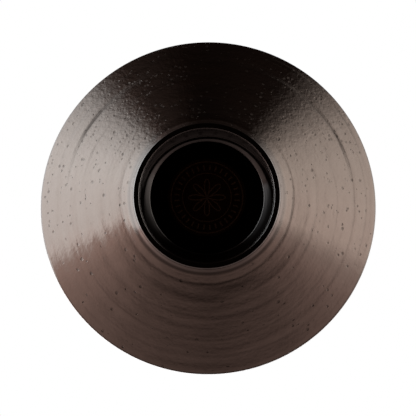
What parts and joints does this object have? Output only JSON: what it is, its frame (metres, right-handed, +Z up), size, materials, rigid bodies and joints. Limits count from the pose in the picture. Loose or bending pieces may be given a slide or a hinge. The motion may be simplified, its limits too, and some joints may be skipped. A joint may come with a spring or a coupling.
{
  "type": "footed conical dish",
  "caption": "Wide, straight-sided conical dish in dark glazed stoneware, on a turned foot ring with a deep recess under it.",
  "frame": {"origin": "on the dish's axis, in the plane of the foot ring's bare crest, so the dish stands on z = 0", "axes": "+Z up along the axis the dish was turned about, from the foot to the open lip; +X and +Y are any two directions across it"},
  "size_m": [0.17, 0.17, 0.045],
  "materials": {
    "bare_clay": "satin, bare near-black fired stoneware, rubbed smooth",
    "bronze_glaze": "glossy dark bronze-brown glaze with fine turning rings and small pits",
    "black_glaze": "glossy near-black glaze",
    "brown_transfer": "thin fired transfer, a little lighter than the glaze"
  },
  "bodies": {
    "root": {"clay_body": "bare_clay", "main_glaze": "bronze_glaze", "recess_glaze": "black_glaze", "backstamp": "brown_transfer"}
  },
  "joints": []
}
